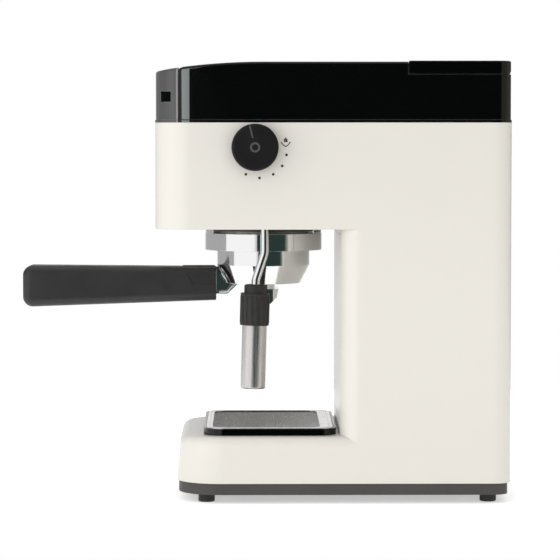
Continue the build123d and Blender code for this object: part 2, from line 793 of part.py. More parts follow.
def group_head():
    head = disc(neck_radius, 177.5, boiler_bottom_z)
    head += disc(38.3, head_floor_z + wall, boiler_bottom_z)
    for x, y in lug_places():
        head -= disc(3.0, head_floor_z + wall - 1, boiler_bottom_z + 1, x, y)
    head -= ring(34.2, 26.3, 177, 184)
    head -= disc(26.4, 177, 180)
    head -= disc(2.0, 183, boiler_bottom_z + 1, 0, 0)
    for degrees in range(0, 360, 60):
        x, y = on_circle(12, degrees)
        head -= disc(1.2, 179, 186, x, y)
    head -= ring(13.2, 10.8, 183.5, 187)
    head -= slab(-12, 12, -1.2, 1.2, 184, 187)
    return head - disc(2.5, 179, 186, 0, 0)


def group_gasket():
    return ring(34.0, 26.6, 178.0, 184)


def shower_screen():
    screen = disc(25.6, 176.6, 177.6) + ring(25.6, 24.6, 177.6, 180)
    for circle in range(1, 5):
        count = circle * 8
        for step in range(count):
            x, y = on_circle(circle * 5.2, step * 360 / count)
            screen -= disc(0.8, 176, 178, x, y)
    return screen - disc(2.6, 176, 178)


def shower_screw():
    head = disc(4.5, 175.0, 176.6)
    head -= slab(-5, 5, -0.5, 0.5, 174, 175.6)
    return head + disc(2.4, 176.6, 185.5)


def group_collar():
    collar = ring(collar_radius, 38.4, collar_bottom_z, collar_top_z)
    collar += ring(collar_radius, 33.3, collar_bottom_z, collar_bottom_z + collar_shelf)
    collar += ring(collar_radius, 35.9, collar_top_z - 1.6, collar_top_z)
    for middle in (90, 270):
        collar += sector(middle, boss_half_angle, boss_inner, boss_outer, collar_top_z - 1.6, head_floor_z)
    for x, y in lug_places():
        collar -= disc(lug_bore, collar_top_z - 1.0, head_floor_z + 1, x, y)
    for side in (0, 180):
        collar -= sector(side - ear_angle, 25, 33, 38.4, collar_bottom_z - 1, ear_bottom_z)
    return collar


def sector(middle, half_angle, inner, outer, z0, z1):
    """Part of a ring, centred on the direction middle."""
    far = 2 * outer
    left = on_circle(far, middle - half_angle)
    right = on_circle(far, middle + half_angle)
    wedge = make_face(Polyline((0, 0), left, right, close=True))
    return ring(outer, inner, z0, z1) & extrude(Pos(0, 0, z0) * wedge, z1 - z0)


def collar_screws():
    screws = []
    top = head_floor_z + wall
    for x, y in lug_places():
        screws.append(disc(1.4, collar_top_z - 0.8, top, x, y) + disc(2.6, top, top + 2.2, x, y))
    return joined(screws)


# ---------------------------------------------------------------- filter holder
cup_outline = [(0, cup_bottom_z), (cup_bottom_radius, cup_bottom_z), (cup_radius, cup_cone_z),
               (cup_radius, cup_rim_z), (0, cup_rim_z)]
cavity_outline = [(0, cavity_bottom_z), (cavity_bottom_radius, cavity_bottom_z),
                  (cavity_radius, cavity_cone_z), (cavity_radius, basket_top_z + 1), (0, basket_top_z + 1)]
spout_neck_radius = 8.0
spout_neck_z = 138.5
spout_bore = 3.0
spout_half = 17.5
spout_side = [(-10.6, 144.2), (-9.4, 138.3), (-5.0, 133.9), (5.0, 133.9), (9.4, 138.3), (10.6, 144.2)]
outlet_x = 10.0
outlet_radius = 2.6
outlet_top_z = 138.0


def portafilter_body():
    cup = turned(cup_outline) - turned(cavity_outline)
    for side in (0, 180):
        cup += sector(side, 22, cup_radius - 1, 37.8, ear_bottom_z, ear_top_z)
    cup += disc(spout_neck_radius, spout_neck_z, cup_bottom_z + 1)
    return cup - disc(spout_bore, spout_neck_z - 1, cavity_bottom_z + 1)


def filter_basket():
    wall_in = basket_wall
    basket = turned([(0, basket_bottom_z), (basket_bottom_radius, basket_bottom_z),
                     (basket_radius, basket_cone_z), (basket_radius, basket_top_z), (0, basket_top_z)])
    basket += disc(cup_radius + 0.85, cup_rim_z, basket_top_z)
    basket -= turned([(0, basket_bottom_z + 0.8), (basket_bottom_radius - 0.4, basket_bottom_z + 0.8),
                      (basket_radius - wall_in, basket_cone_z), (basket_radius - wall_in, basket_top_z + 1),
                      (0, basket_top_z + 1)])
    hole = 0.6
    for circle in range(1, 6):
        count = circle * 6
        for step in range(count):
            x, y = on_circle(circle * 4.5, step * 360 / count)
            basket -= disc(hole, basket_bottom_z - 1, basket_bottom_z + 1, x, y)
    return basket


def portafilter_spout():
    """Narrow block across the cup's neck; a channel leads to the two outlets."""
    spout = side_profile(spout_side, spout_half) & disc(spout_half + 0.6, 130, 146)
    spout -= disc(spout_neck_radius + 0.05, spout_neck_z - 0.1, 146)
    spout -= slab(-outlet_x, outlet_x, -outlet_radius, outlet_radius, outlet_top_z - 2.4, spout_neck_z)
    for side in (-1, 1):
        spout -= disc(outlet_radius, 132, outlet_top_z, side * outlet_x, 0)
    return spout


neck_outline = [(-45, 156.2), (-33.3, 156.2), (-33.3, 159.2), (-28, 162.5), (-18.6, 149.0), (-18.6, 146.8),
                (-25.2, 140.4), (-33.3, 140.4), (-34, 137.6), (-45, 137.6)]
neck_pocket = [(-33.2, 157.4), (-32.6, 157.2), (-26.8, 148.4), (-22.4, 147.0), (-26.0, 142.6),
               (-33.2, 142.4)]
neck_half = 6.0
neck_web = 1.2


def handle_neck():
    neck = side_profile(neck_outline, neck_half)
    depth = neck_half - neck_web
    for side in (-1, 1):
        neck -= Pos(side * (neck_web + depth / 2 + 1), 0, 0) * side_profile(neck_pocket, depth / 2 + 1)
    neck -= turned(cup_outline)
    neck = neck.solids().sort_by(SortBy.VOLUME)[-1]
    return neck - rod_y(3.0, -46, -34, 0, 147)


def handle_grip():
    points = [(handle_start_y, 136.0), (handle_start_y, 159.4), (handle_end_y, 160.6),
              (handle_end_y, 131.2)]
    grip = side_profile(points, handle_half)
    end_edges = grip.edges().filter_by(Axis.X).group_by(Axis.Y)[0]
    grip = fillet(end_edges, 7.0)
    side_edges = [
        edge for edge in grip.edges()
        if abs(edge.center().X) > handle_half - 0.1 and edge.center().Y < handle_start_y - 1
    ]
    grip = fillet(side_edges, 6.0)
    grip -= side_profile([(-45.2, 137.4), (-33, 137.4), (-33, 156.4), (-45.2, 156.4)], 6.2)
    grip -= rod_y(3.0, -140, -44, 0, 147)
    relief = [(-57, 162), (-55.5, 157.5), (-49.6, 147.2), (-30, 147.2), (-30, 162)]
    for side in (-1, 1):
        grip -= Pos(side * 17.0, 0, 0) * side_profile(relief, 4.0)
    slot = [(-57.5, 162), (-57.5, 150.5), (-48, 150.5), (-45.5, 156.3), (-30, 156.3), (-30, 162)]
    grip -= side_profile(slot, 5.0)
    return grip - rod_x(1.3, -8, 8, clip_pivot_y, clip_pivot_z)


def handle_bolt():
    return rod_y(3.0, -138, -34.6, 0, 147)


clip_pivot_y = -44.0
clip_pivot_z = 158.4


def filter_clip():
    lever = side_profile([(-56.8, 160.2), (-56.8, 157.6), (-50, 156.9), (-37.8, 156.9), (-34.4, 157.6),
                          (-34.4, 160.2)], 4.5)
    return lever + rod_x(1.2, -7.5, 7.5, clip_pivot_y, clip_pivot_z)


# ---------------------------------------------------------------- drip tray
def tray_plan(inset):
    return outline(tray_front_y + inset, tray_rear_y - inset, tray_half - inset,
                   tray_corner - inset, tray_corner - inset)


def drip_tray():
    tray = block(tray_plan(0), base_top_z + 0.1, tray_top_z - 0.3)
    tray += block(tray_plan(4), 35.0, base_top_z + 0.2)
    tray -= block(tray_plan(6), 37.0, tray_top_z + 1)
    return tray - block(tray_plan(1.6), tray_top_z - grate_thick - 0.1, tray_top_z + 1)


def drip_grate():
    plate = block(tray_plan(1.9), tray_top_z - grate_thick, tray_top_z)
    hole_pitch_x = 8.0
    hole_pitch_y = 6.0
    field = block(outline(-36.0, 39.5, 56.5, 9, 9), tray_top_z - 0.8, tray_top_z + 1)
    plate -= field
    for column in range(14):
        for row in range(12):
            x = -52 + column * hole_pitch_x
            y = -31.5 + row * hole_pitch_y
            plate -= slab(x - 3, x + 3, y - 1.8, y + 1.8, tray_top_z - grate_thick - 1, tray_top_z + 1)
    return plate


# ---------------------------------------------------------------- the whole machine
def build():
    makers = [
        body_shell, column_front_panel, rear_panel, cord_gland, base_plate, casing_screws, rubber_feet,
        top_cover, cup_tray, front_panel, indicator_windows, control_board,
        water_tank, tank_lid, lid_hinge_pins, tank_valve_body, tank_valve_plunger, tank_valve_spring,
        tank_shelf, tank_seat, tank_seat_seal,
        pump_body, pump_coil, pump_mounts, pump_bracket, relief_valve, suction_hose, pressure_hose,
        boiler_lower, boiler_upper, boiler_screws, heating_element, thermostats,
        steam_valve_body, steam_spindle, steam_knob, steam_feed_pipe, wand_socket, steam_pipe,
        wand_sleeve, frothing_tube,
        head_underside_plate, group_head, group_gasket, shower_screen, shower_screw, group_collar,
        collar_screws,
        portafilter_body, filter_basket, portafilter_spout, handle_neck, handle_grip, handle_bolt,
        filter_clip,
        drip_tray, drip_grate,
    ]
    for maker in makers:
        parts[maker.__name__] = maker()
    for name, x in button_places.items():
        parts[name] = push_button(x)


build()
os.makedirs("parts", exist_ok=True)
for name, shape in parts.items():
    export_step(shift * shape, f"parts/{name}.step")
    print(name, round(shape.volume))
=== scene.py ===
import math

import bmesh
import bpy
from mathutils import Matrix, Vector


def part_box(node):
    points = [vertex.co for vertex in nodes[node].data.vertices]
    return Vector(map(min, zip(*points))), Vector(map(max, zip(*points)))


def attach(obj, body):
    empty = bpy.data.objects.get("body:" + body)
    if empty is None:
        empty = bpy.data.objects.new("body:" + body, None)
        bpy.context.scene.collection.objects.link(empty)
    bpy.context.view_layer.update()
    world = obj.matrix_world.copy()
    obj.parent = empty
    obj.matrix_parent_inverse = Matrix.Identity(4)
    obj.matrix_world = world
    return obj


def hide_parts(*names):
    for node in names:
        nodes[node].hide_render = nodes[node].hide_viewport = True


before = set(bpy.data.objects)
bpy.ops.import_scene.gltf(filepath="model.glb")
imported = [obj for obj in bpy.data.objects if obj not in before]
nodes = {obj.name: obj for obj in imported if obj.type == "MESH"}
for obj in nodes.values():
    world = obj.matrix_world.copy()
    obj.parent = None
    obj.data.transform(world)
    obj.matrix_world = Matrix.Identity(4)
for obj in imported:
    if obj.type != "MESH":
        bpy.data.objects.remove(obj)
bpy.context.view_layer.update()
print("frame loaded:", len(nodes), "nodes")
mm = 0.001


# small helpers for the finishes

def startFinish(name, look):
    mat = bpy.data.materials.new(name)
    mat.use_nodes = True
    shader = mat.node_tree.nodes["Principled BSDF"]
    shader.inputs["Base Color"].default_value = (*look["colour"], 1)
    shader.inputs["Metallic"].default_value = look.get("metal", 0.0)
    shader.inputs["Roughness"].default_value = look["rough"]
    shader.inputs["Coat Weight"].default_value = look.get("coat", 0.0)
    shader.inputs["Coat Roughness"].default_value = look.get("coatRough", 0.05)
    shader.inputs["IOR"].default_value = look.get("ior", 1.45)
    finishes[name] = mat
    return mat.node_tree


def shaderOf(tree):
    return tree.nodes["Principled BSDF"]


def speckle(tree, scale, stretch=(1, 1, 1), detail=3.0):  # noise on object coordinates
    coord = tree.nodes.new("ShaderNodeTexCoord")
    mapping = tree.nodes.new("ShaderNodeMapping")
    mapping.inputs["Scale"].default_value = stretch
    noise = tree.nodes.new("ShaderNodeTexNoise")
    noise.inputs["Scale"].default_value = scale
    noise.inputs["Detail"].default_value = detail
    tree.links.new(coord.outputs["Object"], mapping.inputs["Vector"])
    tree.links.new(mapping.outputs["Vector"], noise.inputs["Vector"])
    return noise.outputs["Fac"]


def spread(tree, source, low, high, start=0.3, end=0.7):  # squeezes a pattern between two values
    node = tree.nodes.new("ShaderNodeMapRange")
    node.inputs["From Min"].default_value = start
    node.inputs["From Max"].default_value = end
    node.inputs["To Min"].default_value = low
    node.inputs["To Max"].default_value = high
    tree.links.new(source, node.inputs["Value"])
    return node.outputs["Result"]


def tint(tree, mask, other):  # the second colour shows where the mask is high
    shader = shaderOf(tree)
    mix = tree.nodes.new("ShaderNodeMix")
    mix.data_type = "RGBA"
    base = shader.inputs["Base Color"]
    if base.is_linked:
        tree.links.new(base.links[0].from_socket, mix.inputs[6])
    else:
        mix.inputs[6].default_value = base.default_value
    mix.inputs[7].default_value = (*other, 1)
    tree.links.new(mask, mix.inputs[0])
    tree.links.new(mix.outputs[2], base)


def roughness(tree, source, low, high):
    tree.links.new(spread(tree, source, low, high), shaderOf(tree).inputs["Roughness"])


def relief(tree, source, depth, strength=1.0):  # bumps add up in the order they are made
    shader = shaderOf(tree)
    bump = tree.nodes.new("ShaderNodeBump")
    bump.inputs["Distance"].default_value = depth
    bump.inputs["Strength"].default_value = strength
    tree.links.new(source, bump.inputs["Height"])
    if shader.inputs["Normal"].is_linked:
        tree.links.new(shader.inputs["Normal"].links[0].from_socket, bump.inputs["Normal"])
    tree.links.new(bump.outputs["Normal"], shader.inputs["Normal"])


def softEdges(tree, radius):  # a moulded or broken edge catches a thin light
    bevel = tree.nodes.new("ShaderNodeBevel")
    bevel.samples = 4
    bevel.inputs["Radius"].default_value = radius
    tree.links.new(bevel.outputs["Normal"], shaderOf(tree).inputs["Normal"])
    return bevel.outputs["Normal"]


def edgeMask(tree, rounded):  # 1 on the edges, 0 on the flats
    geometry = tree.nodes.new("ShaderNodeNewGeometry")
    dot = tree.nodes.new("ShaderNodeVectorMath")
    dot.operation = "DOT_PRODUCT"
    tree.links.new(rounded, dot.inputs[0])
    tree.links.new(geometry.outputs["Normal"], dot.inputs[1])
    return spread(tree, dot.outputs["Value"], 1.0, 0.0, 0.8, 0.99)


def along(tree, axis, start, end):  # 0 before start and 1 past end, on one object axis
    coord = tree.nodes.new("ShaderNodeTexCoord")
    split = tree.nodes.new("ShaderNodeSeparateXYZ")
    tree.links.new(coord.outputs["Object"], split.inputs["Vector"])
    return spread(tree, split.outputs[axis], 0.0, 1.0, start, end)


def product(tree, a, b):
    node = tree.nodes.new("ShaderNodeMath")
    node.operation = "MULTIPLY"
    tree.links.new(a, node.inputs[0])
    tree.links.new(b, node.inputs[1])
    return node.outputs["Value"]


def edgeWearAndSheen(tree, rounded, scale, low, high, colour):  # this colour on the edges, patchily
    wear = spread(tree, speckle(tree, scale), low, high)
    tint(tree, product(tree, edgeMask(tree, rounded), wear), colour)


finishes = {}


# the finishes: one for each material of the record, and a few of their own

def makeWhiteCasing():
    look = {"colour": (0.635, 0.613, 0.566), "rough": 0.3, "coat": 0.22, "coatRough": 0.12}
    tree = startFinish("white_casing", look)
    rounded = softEdges(tree, 0.5 * mm)
    tint(tree, spread(tree, speckle(tree, 40, detail=2), 0.0, 1.0, 0.2, 0.8), (0.628, 0.606, 0.560))
    edgeWearAndSheen(tree, rounded, 200, 0.0, 0.5, (0.68, 0.665, 0.625))
    roughness(tree, speckle(tree, 120, detail=2), 0.28, 0.33)
    relief(tree, speckle(tree, 1800, detail=2), 0.008 * mm, 0.25)


def makeBlackGloss():
    tree = startFinish("black_gloss", {"colour": (0.0009, 0.0009, 0.001), "rough": 0.05, "ior": 1.38})
    rounded = softEdges(tree, 0.45 * mm)
    edgeWearAndSheen(tree, rounded, 500, 0.2, 0.9, (0.06, 0.06, 0.058))
    roughness(tree, speckle(tree, 35, detail=6), 0.03, 0.06)
    relief(tree, speckle(tree, 140, detail=1), 0.01 * mm, 0.12)


# painted highlight: the place and colour of a light band along the front panel's rear edge
panelEdgeHighlight = {"start": -59.85 * mm, "end": -59.65 * mm, "colour": (0.24, 0.24, 0.235)}


def makePanelGrey():
    tree = startFinish("panel_grey", {"colour": (0.12, 0.117, 0.118), "rough": 0.34, "metal": 0.55})
    rounded = softEdges(tree, 0.5 * mm)
    grain = speckle(tree, 420, stretch=(1, 1, 0.03), detail=4)
    tint(tree, spread(tree, grain, 0.0, 1.0), (0.092, 0.09, 0.092))
    # partly edge wear, partly painted highlight: the pale edge colour also stands for light caught along the
    # panel's edges
    edgeWearAndSheen(tree, rounded, 400, 0.4, 1.0, (0.6, 0.6, 0.59))
    roughness(tree, grain, 0.27, 0.42)
    relief(tree, grain, 0.01 * mm, 0.35)
    tint(tree, along(tree, "Y", panelEdgeHighlight["start"], panelEdgeHighlight["end"]), panelEdgeHighlight["colour"])  # painted highlight: a lighter band along the panel's rear edge stands for the light line caught there


def makeBaseGrey():
    tree = startFinish("base_grey", {"colour": (0.056, 0.053, 0.051), "rough": 0.55})
    rounded = softEdges(tree, 0.5 * mm)
    grain = speckle(tree, 1400, detail=2)
    tint(tree, spread(tree, speckle(tree, 18), 0.0, 1.0), (0.048, 0.046, 0.044))
    edgeWearAndSheen(tree, rounded, 300, 0.0, 0.8, (0.13, 0.13, 0.128))
    roughness(tree, speckle(tree, 90), 0.48, 0.62)
    relief(tree, grain, 0.04 * mm, 0.5)


def makeBlackPlastic():
    tree = startFinish("black_plastic", {"colour": (0.0155, 0.0153, 0.0158), "rough": 0.42})
    rounded = softEdges(tree, 0.6 * mm)
    grain = speckle(tree, 1700, detail=2)
    tint(tree, spread(tree, speckle(tree, 30), 0.0, 1.0), (0.022, 0.0215, 0.022))
    edgeWearAndSheen(tree, rounded, 350, 0.0, 0.7, (0.06, 0.06, 0.06))
    roughness(tree, speckle(tree, 70), 0.36, 0.5)
    relief(tree, grain, 0.035 * mm, 0.45)


def makeKnobBlack():  # finer and deeper black than the handle's
    tree = startFinish("knob_black", {"colour": (0.0055, 0.0055, 0.0055), "rough": 0.45, "ior": 1.35})
    rounded = softEdges(tree, 0.5 * mm)
    tint(tree, spread(tree, speckle(tree, 60), 0.0, 1.0), (0.0072, 0.0072, 0.0071))
    edgeWearAndSheen(tree, rounded, 350, 0.0, 0.6, (0.03, 0.03, 0.029))
    roughness(tree, speckle(tree, 90), 0.4, 0.52)
    relief(tree, speckle(tree, 2200, detail=2), 0.02 * mm, 0.4)


def makeWindowBlack():
    tree = startFinish("window_black", {"colour": (0.003, 0.003, 0.004), "rough": 0.05, "coat": 0.5})
    roughness(tree, speckle(tree, 120), 0.03, 0.1)
    relief(tree, speckle(tree, 600, detail=1), 0.005 * mm, 0.1)


def makeRubber():
    tree = startFinish("rubber", {"colour": (0.019, 0.0185, 0.0172), "rough": 0.62})
    rounded = softEdges(tree, 0.3 * mm)
    edgeWearAndSheen(tree, rounded, 500, 0.1, 0.8, (0.07, 0.068, 0.066))
    tint(tree, spread(tree, speckle(tree, 120), 0.0, 0.7, 0.5, 0.75), (0.027, 0.0262, 0.0242))
    roughness(tree, speckle(tree, 200), 0.5, 0.68)
    relief(tree, speckle(tree, 2200), 0.04 * mm, 0.5)


def makeSiliconeWhite():
    tree = startFinish("silicone_white", {"colour": (0.72, 0.71, 0.67), "rough": 0.4})
    shaderOf(tree).inputs["Subsurface Weight"].default_value = 0.3
    shaderOf(tree).inputs["Subsurface Radius"].default_value = (2 * mm, 1.6 * mm, 1.2 * mm)
    shaderOf(tree).inputs["Subsurface Scale"].default_value = 1.0
    tint(tree, spread(tree, speckle(tree, 25), 0.0, 0.6), (0.62, 0.6, 0.55))
    roughness(tree, speckle(tree, 150), 0.32, 0.5)
    relief(tree, speckle(tree, 900), 0.02 * mm, 0.3)


def makeSealRed():
    tree = startFinish("seal_red", {"colour": (0.42, 0.085, 0.04), "rough": 0.6})
    tint(tree, spread(tree, speckle(tree, 160), 0.0, 0.8), (0.3, 0.06, 0.035))
    roughness(tree, speckle(tree, 300), 0.5, 0.7)
    relief(tree, speckle(tree, 1500), 0.03 * mm, 0.4)


def makeChrome():
    tree = startFinish("chrome", {"colour": (0.80, 0.80, 0.80), "rough": 0.06, "metal": 1.0})
    rounded = softEdges(tree, 0.35 * mm)
    edgeWearAndSheen(tree, rounded, 400, 0.0, 0.5, (0.93, 0.93, 0.93))
    tint(tree, spread(tree, speckle(tree, 26, detail=5), 0.0, 0.5, 0.45, 0.8), (0.70, 0.70, 0.69))
    roughness(tree, speckle(tree, 45, detail=6), 0.035, 0.11)
    relief(tree, speckle(tree, 150, detail=2), 0.012 * mm, 0.12)


def makeBrushedSteel():
    tree = startFinish("brushed_steel", {"colour": (0.60, 0.59, 0.575), "rough": 0.32, "metal": 1.0})
    rounded = softEdges(tree, 0.3 * mm)
    lines = speckle(tree, 900, stretch=(0.03, 1, 1), detail=4)
    tint(tree, spread(tree, lines, 0.0, 0.8), (0.5, 0.49, 0.48))
    tint(tree, edgeMask(tree, rounded), (0.78, 0.77, 0.76))
    roughness(tree, lines, 0.24, 0.42)
    relief(tree, lines, 0.01 * mm, 0.35)


def makeTubeSteel():  # the frothing tube is brushed along its length
    tree = startFinish("tube_steel", {"colour": (0.64, 0.625, 0.61), "rough": 0.3, "metal": 1.0})
    rounded = softEdges(tree, 0.3 * mm)
    lines = speckle(tree, 1300, stretch=(1, 1, 0.02), detail=4)
    tint(tree, spread(tree, lines, 0.0, 0.8), (0.55, 0.54, 0.53))
    tint(tree, edgeMask(tree, rounded), (0.8, 0.8, 0.79))
    roughness(tree, lines, 0.22, 0.38)
    relief(tree, lines, 0.01 * mm, 0.3)


def makePolishedSteel():
    tree = startFinish("polished_steel", {"colour": (0.66, 0.645, 0.63), "rough": 0.14, "metal": 1.0})
    rounded = softEdges(tree, 0.25 * mm)
    tint(tree, spread(tree, speckle(tree, 70, detail=5), 0.0, 0.6), (0.56, 0.55, 0.54))
    tint(tree, edgeMask(tree, rounded), (0.82, 0.81, 0.8))
    roughness(tree, speckle(tree, 110, detail=6), 0.08, 0.22)
    relief(tree, speckle(tree, 700, stretch=(1, 1, 0.1)), 0.006 * mm, 0.25)


def makeZincSteel():
    tree = startFinish("zinc_steel", {"colour": (0.5, 0.5, 0.475), "rough": 0.36, "metal": 1.0})
    cells = tree.nodes.new("ShaderNodeTexVoronoi")
    coord = tree.nodes.new("ShaderNodeTexCoord")
    cells.inputs["Scale"].default_value = 260
    tree.links.new(coord.outputs["Object"], cells.inputs["Vector"])
    rounded = softEdges(tree, 0.25 * mm)
    tint(tree, spread(tree, cells.outputs["Distance"], 0.0, 0.7, 0.1, 0.6), (0.4, 0.4, 0.36))
    tint(tree, edgeMask(tree, rounded), (0.7, 0.7, 0.68))
    roughness(tree, speckle(tree, 260), 0.28, 0.46)
    relief(tree, speckle(tree, 900), 0.012 * mm, 0.3)


def makeCastAluminium():
    tree = startFinish("cast_aluminium", {"colour": (0.5, 0.5, 0.495), "rough": 0.48, "metal": 1.0})
    rounded = softEdges(tree, 0.6 * mm)
    tint(tree, spread(tree, speckle(tree, 90, detail=5), 0.0, 0.8), (0.38, 0.38, 0.375))
    tint(tree, edgeMask(tree, rounded), (0.66, 0.66, 0.655))
    roughness(tree, speckle(tree, 400), 0.4, 0.6)
    relief(tree, speckle(tree, 1100, detail=5), 0.06 * mm, 0.6)


def makeBrass():
    tree = startFinish("brass", {"colour": (0.62, 0.45, 0.17), "rough": 0.28, "metal": 1.0})
    rounded = softEdges(tree, 0.3 * mm)
    tint(tree, spread(tree, speckle(tree, 120, detail=5), 0.0, 0.8), (0.47, 0.32, 0.12))
    tint(tree, edgeMask(tree, rounded), (0.78, 0.62, 0.3))
    roughness(tree, speckle(tree, 500, stretch=(0.05, 1, 1)), 0.2, 0.38)
    relief(tree, speckle(tree, 1200, stretch=(1, 1, 0.05)), 0.008 * mm, 0.3)


def makeSmokeClear():
    tree = startFinish("smoke_clear", {"colour": (0.42, 0.43, 0.45), "rough": 0.12, "ior": 1.49})
    shaderOf(tree).inputs["Transmission Weight"].default_value = 0.85
    tint(tree, spread(tree, speckle(tree, 22), 0.0, 0.6), (0.36, 0.37, 0.39))
    roughness(tree, speckle(tree, 80, detail=5), 0.07, 0.18)
    relief(tree, speckle(tree, 160, detail=1), 0.01 * mm, 0.2)


def makeWinding():
    tree = startFinish("winding", {"colour": (0.05, 0.05, 0.065), "rough": 0.5})
    turns = speckle(tree, 1500, stretch=(0.05, 0.05, 1), detail=2)
    tint(tree, spread(tree, turns, 0.0, 0.9), (0.12, 0.075, 0.05))
    roughness(tree, turns, 0.35, 0.6)
    relief(tree, turns, 0.15 * mm, 0.6)


def makeCircuitBoard():
    tree = startFinish("circuit_board", {"colour": (0.018, 0.12, 0.045), "rough": 0.3, "coat": 0.4})
    coord = tree.nodes.new("ShaderNodeTexCoord")
    brick = tree.nodes.new("ShaderNodeTexBrick")
    brick.inputs["Scale"].default_value = 110
    brick.inputs["Mortar Size"].default_value = 0.03
    tree.links.new(coord.outputs["Object"], brick.inputs["Vector"])
    tint(tree, brick.outputs["Fac"], (0.03, 0.2, 0.075))
    tint(tree, spread(tree, speckle(tree, 500), 0.0, 1.0, 0.66, 0.7), (0.45, 0.42, 0.32))
    roughness(tree, speckle(tree, 200), 0.22, 0.4)
    relief(tree, brick.outputs["Fac"], 0.05 * mm, 0.6)


def makeMarkInk():  # printed marks on the white casing
    tree = startFinish("mark_ink", {"colour": (0.016, 0.016, 0.016), "rough": 0.4})
    tint(tree, spread(tree, speckle(tree, 2500), 0.0, 0.7), (0.035, 0.034, 0.033))
    roughness(tree, speckle(tree, 900), 0.34, 0.5)
    relief(tree, speckle(tree, 2500), 0.01 * mm, 0.3)


def makePointerGrey():  # inlay of the knob: its pointer and centre ring
    tree = startFinish("pointer_grey", {"colour": (0.06, 0.06, 0.06), "rough": 0.4})
    tint(tree, spread(tree, speckle(tree, 1500), 0.0, 0.8), (0.078, 0.078, 0.077))
    roughness(tree, speckle(tree, 600), 0.34, 0.48)
    relief(tree, speckle(tree, 1800), 0.01 * mm, 0.3)


makers = [
    makeWhiteCasing, makeBlackGloss, makePanelGrey, makeBaseGrey, makeBlackPlastic, makeKnobBlack,
    makeWindowBlack, makeRubber, makeSiliconeWhite, makeSealRed, makeChrome, makeBrushedSteel, makeTubeSteel,
    makePolishedSteel, makeZincSteel, makeCastAluminium, makeBrass, makeSmokeClear, makeWinding,
    makeCircuitBoard, makeMarkInk, makePointerGrey,
]
for maker in makers:
    maker()
for node in nodes.values():
    slotName = node.data.materials[0].name.split(".")[0]
    node.data.materials[0] = finishes[slotName]
nodes["frothing_tube"].data.materials[0] = finishes["tube_steel"]
nodes["steam_knob"].data.materials[0] = finishes["knob_black"]
nodes["drip_tray"].data.materials[0] = finishes["black_gloss"]
print("finishes made:", len(finishes))


# helpers for the new pieces

def alone(obj):  # only this object is selected and active
    bpy.ops.object.select_all(action="DESELECT")
    obj.select_set(True)
    bpy.context.view_layer.objects.active = obj


def pick(obj, kind, test):  # in edit mode: selects the faces, edges or vertices that pass the test
    bpy.ops.mesh.select_mode(type={"faces": "FACE", "edges": "EDGE", "verts": "VERT"}[kind])
    bpy.ops.mesh.select_all(action="DESELECT")
    mesh = bmesh.from_edit_mesh(obj.data)
    for item in getattr(mesh, kind):
        if test(item):
            item.select_set(True)
    mesh.select_flush_mode()
    bmesh.update_edit_mesh(obj.data)


def applyModifier(obj, kind, **values):
    alone(obj)
    mod = obj.modifiers.new(kind.title(), kind)
    for key, value in values.items():
        setattr(mod, key, value)
    bpy.ops.object.modifier_apply(modifier=mod.name)


def bevelEdges(obj, width, angle):
    applyModifier(obj, "BEVEL", width=width, segments=2, limit_method="ANGLE", angle_limit=angle)


smoothAngle = math.radians(35)


def settle(obj, name, finish, body, standsFor=()):
    alone(obj)
    bpy.ops.object.transform_apply(location=True, rotation=True, scale=True)
    bpy.ops.object.shade_smooth_by_angle(angle=smoothAngle)
    obj.name = name
    obj.data.name = name
    obj.data.materials.clear()
    obj.data.materials.append(finishes[finish])
    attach(obj, body)
    if standsFor:
        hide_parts(*standsFor)
    return obj


def stroke(points, radius, smooth=True):  # a small rounded line through points, as a mesh
    bpy.ops.object.select_all(action="DESELECT")
    data = bpy.data.curves.new("stroke", "CURVE")
    data.dimensions = "3D"
    data.bevel_depth = radius
    data.bevel_resolution = 3
    data.use_fill_caps = True
    data.resolution_u = 8
    line = data.splines.new("NURBS" if smooth else "POLY")
    line.points.add(len(points) - 1)
    for target, point in zip(line.points, points):
        target.co = (*point, 1)
    if smooth:
        line.order_u = 3
        line.use_endpoint_u = True
    obj = bpy.data.objects.new("stroke", data)
    bpy.context.scene.collection.objects.link(obj)
    alone(obj)
    bpy.ops.object.convert(target="MESH")
    return bpy.context.object


def join(pieces):
    alone(pieces[0])
    for piece in pieces[1:]:
        piece.select_set(True)
    bpy.ops.object.join()
    return bpy.context.object


# the marks printed beside the steam knob

dial = {"centreY": 3.0 * mm, "centreZ": -2.25 * mm, "reach": 18.6 * mm, "dotRadius": 0.9 * mm,
        "angles": (-9, -34, -60, -90, -120), "iconAngle": 17, "thick": 0.12 * mm,
        "rim": 0.1 * mm, "rise": 0.02 * mm}
steamIcon = {"dish": ((-3.2, 0.5), (-2.4, -0.7), (-1.2, -2.0), (0, -2.7), (1.2, -2.0), (2.4, -0.7),
                      (3.2, 0.5)),
             "dishLine": 0.34 * mm, "plumes": ((-0.85, 2.3), (0, 3.1), (0.85, 2.3)), "plumeLine": 0.4 * mm,
             "bends": ((0, 0), (0.3, 1), (0.65, -1), (1, 0.3)), "sway": 0.3, "foot": 0.3, "flat": 0.2}


def knobCentre():
    low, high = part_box("steam_knob")
    return (low + high) / 2


def dialPoint(degrees):
    centre = knobCentre()
    turn = math.radians(degrees)
    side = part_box("body_shell")[1].x
    return Vector((side, centre.y + dial["centreY"] + dial["reach"] * math.cos(turn),
                   centre.z + dial["centreZ"] + dial["reach"] * math.sin(turn)))


def makeDialDots():
    for count, degrees in enumerate(dial["angles"], 1):
        bpy.ops.object.select_all(action="DESELECT")
        bpy.ops.mesh.primitive_cylinder_add(vertices=40, radius=dial["dotRadius"], depth=dial["thick"],
                                            location=dialPoint(degrees), rotation=(0, math.pi / 2, 0))
        dot = bpy.context.object
        bpy.ops.object.mode_set(mode="EDIT")
        pick(dot, "faces", lambda face: face.normal.z > 0.9)
        bpy.ops.mesh.inset(thickness=dial["rim"])
        bpy.ops.transform.translate(value=(dial["rise"], 0, 0))
        bpy.ops.object.mode_set(mode="OBJECT")
        settle(dot, f"dial_dot_{count}", "mark_ink", "machine")


